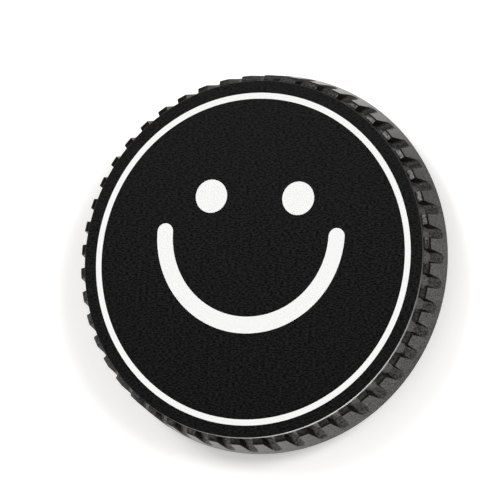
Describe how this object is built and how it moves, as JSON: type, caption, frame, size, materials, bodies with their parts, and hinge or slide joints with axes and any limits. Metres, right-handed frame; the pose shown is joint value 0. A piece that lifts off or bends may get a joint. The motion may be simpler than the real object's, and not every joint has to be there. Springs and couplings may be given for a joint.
{
  "type": "camera body cap",
  "caption": "Round push-and-turn cover for a camera's lens opening, with a ribbed grip rim, a bayonet ring behind it and a printed smiling face on its front.",
  "frame": {"origin": "on the cap's axis, in the plane of the seat that meets the camera's mount", "axes": "+Z along the axis, out of the printed front; +Y towards the top of the printed face; the bayonet ring points to -Z and the cap rests on its end"},
  "size_m": [0.0644, 0.0644, 0.0119],
  "materials": {
    "moulded_black_plastic": "black plastic with a fine moulded grain",
    "printed_label": "black printed plastic sheet with a fine grain, with the ring, the dots and the arc left white"
  },
  "bodies": {
    "root": {"cap_body": "moulded_black_plastic", "face_label": "printed_label"}
  },
  "joints": []
}
